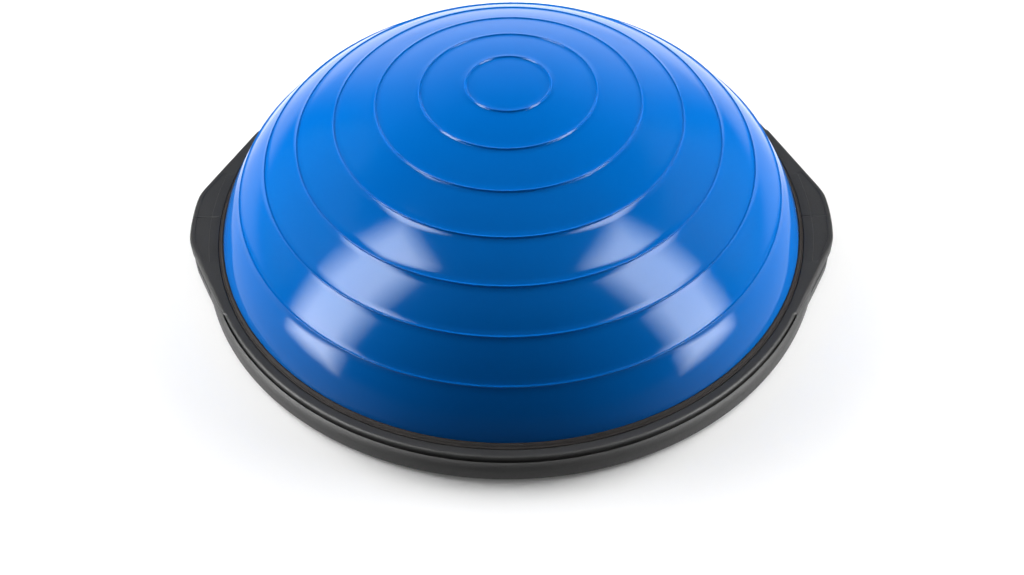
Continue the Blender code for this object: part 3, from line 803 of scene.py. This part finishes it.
def make_valve_grommet(finish):
    """The collar and neck that are welded into the bladder's floor."""
    collar = BLADDER_FLOOR_TOP + GAP
    top, edge = collar + 1.2 * MM, 16.0 * MM
    neck, bore, bead = PORT_BORE - 0.6 * MM, VALVE_BORE, 0.4 * MM
    seat = [(edge - 1.0 * MM, top), (edge - 0.3 * MM, collar + 0.6 * MM), (edge, collar), (neck, collar)]
    seat += arc((neck - bead, PORT_ROOF + bead), bead, 0, -90, 4)
    seat += [(bore + 0.3 * MM, PORT_ROOF), (bore, PORT_ROOF + 0.3 * MM), (bore, top)]
    on_base(turned("valve_grommet", seat, finish, steps=96), "valve_seat")


def make_valve_stopper(finish):
    """A plug with two sealing grooves, a rounded head and a finger slot across it."""
    head_top, edge, stem = PORT_ROOF - GAP, PLUG_HEAD_RADIUS, PLUG_STEM
    head_low, bead, chamfer = head_top - 2.0 * MM, 0.9 * MM, 0.3 * MM
    tip, taper = BLADDER_FLOOR_TOP + 6.0 * MM, BLADDER_FLOOR_TOP + 2.0 * MM
    plug = [(0.0, tip), (stem * 0.5, tip), (stem * 0.62, tip - 0.5 * MM), (stem, taper)]
    for groove in (BLADDER_FLOOR_TOP + 1.2 * MM, BLADDER_FLOOR_TOP - 0.6 * MM):
        plug += [(stem, groove + 0.5 * MM), (stem - 0.25 * MM, groove), (stem, groove - 0.5 * MM)]
    plug += [(stem, head_top), (edge - chamfer, head_top), (edge, head_top - chamfer)]
    plug += arc((edge - bead, head_low + bead), bead, 0, -90, 6)
    plug.append((0.0, head_low))
    piece = turned("valve_stopper", plug, finish, steps=96, closed=False)
    cut(piece, [prism(bar_outline(6.2 * MM, 1.1 * MM), head_low - 0.5 * MM, head_low + 0.9 * MM)])
    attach(piece, "plug")
    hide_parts("valve_plug")


def dress(node, finish):
    """Give a CAD node its final material."""
    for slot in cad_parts[node].material_slots:
        slot.material = finish


# ---- studio ------------------------------------------------------------------------------------
def matt(name, value, emission=0.0):
    made = bpy.data.materials.new(name)
    made.use_nodes = True
    shader = made.node_tree.nodes["Principled BSDF"]
    shader.inputs["Base Color"].default_value = (value, value, value, 1.0)
    shader.inputs["Roughness"].default_value = 0.9
    shader.inputs["Specular IOR Level"].default_value = 0.1
    shader.inputs["Emission Color"].default_value = (1.0, 1.0, 1.0, 1.0)
    shader.inputs["Emission Strength"].default_value = emission
    return made


def glow_far_off(finish, near=0.9, far=2.4, low=0.05, high=0.95):
    """Let a floor glow more and more away from the object, where the softboxes no longer reach."""
    nodes, links = finish.node_tree.nodes, finish.node_tree.links
    place = nodes.new("ShaderNodeTexCoord")
    distance = nodes.new("ShaderNodeVectorMath")
    distance.operation = "LENGTH"
    links.new(place.outputs["Object"], distance.inputs[0])
    glow = nodes.new("ShaderNodeMapRange")
    glow.interpolation_type = "SMOOTHSTEP"
    for name, value in zip(("From Min", "From Max", "To Min", "To Max"), (near, far, low, high)):
        glow.inputs[name].default_value = value
    links.new(distance.outputs["Value"], glow.inputs["Value"])
    links.new(glow.outputs["Result"], nodes["Principled BSDF"].inputs["Emission Strength"])
    return finish


def make_floor():
    mesh = bpy.data.meshes.new("studio_floor")
    form = bmesh.new()
    bmesh.ops.create_grid(form, x_segments=8, y_segments=8, size=14.0)
    form.to_mesh(mesh)
    form.free()
    floor = link("studio_floor", mesh, glow_far_off(matt("floor_white", 0.90)))
    floor.visible_glossy = False
    floor.visible_diffuse = False


def softbox(name, azimuth, elevation, distance, size, radiance, seen_in_gloss, aim=(0, 0, 0.1)):
    """A rectangular light that either lights the object or is only mirrored in it.

    Azimuth and elevation are in degrees, and azimuth is measured from +Y towards +X.
    """
    light = bpy.data.lights.new(name, "AREA")
    light.shape = "RECTANGLE"
    light.size, light.size_y = size
    light.energy = radiance * pi * size[0] * size[1]
    lamp = bpy.data.objects.new(name, light)
    bpy.context.scene.collection.objects.link(lamp)
    turn, rise = radians(azimuth), radians(elevation)
    way = Vector((sin(turn) * cos(rise), cos(turn) * cos(rise), sin(rise)))
    lamp.location = Vector(aim) + way * distance
    lamp.rotation_euler = way.to_track_quat("Z", "Y").to_euler()
    lamp.visible_camera = False
    lamp.visible_glossy = seen_in_gloss
    lamp.visible_diffuse = not seen_in_gloss


def make_world():
    """A dark studio with a pale sweep behind the object and pale ground beside and behind it."""
    world = bpy.data.worlds.new("studio")
    bpy.context.scene.world = world
    world.use_nodes = True
    nodes, links = world.node_tree.nodes, world.node_tree.links
    coordinate = nodes.new("ShaderNodeTexCoord")
    split = nodes.new("ShaderNodeSeparateXYZ")
    links.new(coordinate.outputs["Generated"], split.inputs["Vector"])

    def fade(axis, start, end, low, high):
        """From low to high while the direction's share along an axis goes from start to end."""
        node = nodes.new("ShaderNodeMapRange")
        node.interpolation_type = "SMOOTHSTEP"
        for name, value in zip(("From Min", "From Max", "To Min", "To Max"), (start, end, low, high)):
            node.inputs[name].default_value = value
        links.new(split.outputs[axis], node.inputs["Value"])
        return node.outputs["Result"]

    def combine(operation, first, second, third=0.0):
        node = nodes.new("ShaderNodeMath")
        node.operation = operation
        for socket, value in zip(node.inputs, (first, second, third)):
            if isinstance(value, bpy.types.NodeSocket):
                links.new(value, socket)
            else:
                socket.default_value = value
        return node.outputs["Value"]

    # The sweep: a band above the horizon, in the middle and behind, over a faint light all round.
    horizon = combine("MULTIPLY", fade("Z", -0.10, 0.06, 0.5, 1.0), fade("Z", 0.1, 0.85, 1.45, 0.0))
    middle = combine("MULTIPLY", fade("X", -0.62, -0.28, 0.0, 1.0), fade("X", 0.28, 0.62, 1.0, 0.0))
    behind = combine("MULTIPLY", middle, fade("Y", 0.2, 0.8, 0.0, 1.0))
    sweep = combine("MULTIPLY_ADD", horizon, behind, 0.03)
    # The ground below the horizon, darker in front.
    ground = combine("MULTIPLY", fade("Z", -0.12, 0.02, 0.85, 0.0), fade("Y", -0.90, -0.30, 0.12, 1.0))
    links.new(combine("ADD", sweep, ground), nodes["Background"].inputs["Strength"])
    nodes["Background"].inputs["Color"].default_value = (1.0, 1.0, 1.0, 1.0)


def make_backdrop():
    """A pale wall all round, far off, that only the camera sees."""
    mesh = bpy.data.meshes.new("studio_backdrop")
    form = bmesh.new()
    bmesh.ops.create_cone(form, segments=96, radius1=13.0, radius2=13.0, depth=24.0)
    form.to_mesh(mesh)
    form.free()
    wall = link("studio_backdrop", mesh, matt("wall_white", 0.0, emission=1.0))
    wall.visible_diffuse = False
    wall.visible_glossy = False
    wall.visible_shadow = False


def make_camera():
    """A view from in front and above, 47 degrees down, with a slight roll."""
    data = bpy.data.cameras.new("camera")
    data.lens = 53.55
    data.clip_start = 0.05
    camera = bpy.data.objects.new("camera", data)
    bpy.context.scene.collection.objects.link(camera)
    turn = radians(1.4)
    away, height = 1.0824, 1.0897
    camera.location = (away * sin(turn), -away * cos(turn), height)
    pitch = Matrix.Rotation(radians(42.93), 4, "X")
    roll = Matrix.Rotation(radians(-1.09), 4, "Z")
    camera.rotation_euler = (Matrix.Rotation(turn, 4, "Z") @ pitch @ roll).to_euler()
    bpy.context.scene.camera = camera


def make_mirror_lights(steps=5):
    """Nested boxes on both sides, one behind another, so that their reflections fade at the edges."""
    width, height, narrowing = 0.90, 2.6, 0.15
    for step in range(steps):
        share = 1 + narrowing - narrowing * step
        size = (width * share, height - width * (1 - share))
        distance = 2.0 + 0.01 * step
        softbox(f"mirror_left_{step + 1}", -111, 27, distance, size, 5.4, True)
        softbox(f"mirror_right_{step + 1}", 111, 27, distance, size, 4.8, True)


def make_studio():
    make_floor()
    make_backdrop()
    make_world()
    make_camera()
    softbox("key_left", -68, 21, 2.6, (2.0, 2.0), 10.6, False)
    softbox("key_right", 68, 21, 2.6, (2.0, 2.0), 10.1, False)
    softbox("key_top", 180, 80, 3.0, (3.4, 3.4), 0.60, False)
    make_mirror_lights()
    settings = bpy.context.scene.view_settings
    settings.view_transform = "Standard"
    settings.look = "None"


# ---- the object --------------------------------------------------------------------------------
def make_object():
    rim_black = textured_plastic("rim_plastic", 0.017, 0.022, 0.0010, 0.05 * MM, 0.46, 0.58)
    # The platform's plastic is painted about twice as light as the rim's: painted light standing in for the
    # bright floor mirrored in the skirt.
    deck_black_painted_light = textured_plastic("platform_plastic", 0.034, 0.043, 0.0012, 0.06 * MM, 0.52, 0.64)
    make_dome(dome_vinyl())
    make_lip(lip_rubber())
    make_rim_half("rim_half_rear", 0.0, "rim_ring_rear", rim_black)
    make_rim_half("rim_half_front", pi, "rim_ring_front", rim_black)
    make_platform(deck_black_painted_light)
    make_deck_ribs(deck_black_painted_light)
    make_deck_ring(deck_black_painted_light)
    make_foot_bosses(deck_black_painted_light)
    make_lower_ear("lower_ear_right", 0.0, deck_black_painted_light)
    make_lower_ear("lower_ear_left", pi, deck_black_painted_light)
    make_feet(foot_rubber())
    dress("bladder_floor", moulded("floor_pvc", (0.008, 0.04, 0.14), (0.012, 0.05, 0.18), 0.38, 0.5))
    make_valve_grommet(moulded("valve_pvc", (0.58, 0.59, 0.60), (0.66, 0.67, 0.68), 0.34, 0.46))
    make_valve_stopper(moulded("plug_plastic", (0.045, 0.045, 0.05), (0.06, 0.06, 0.065), 0.42, 0.56))
    make_screws(screw_steel())


make_object()
make_studio()
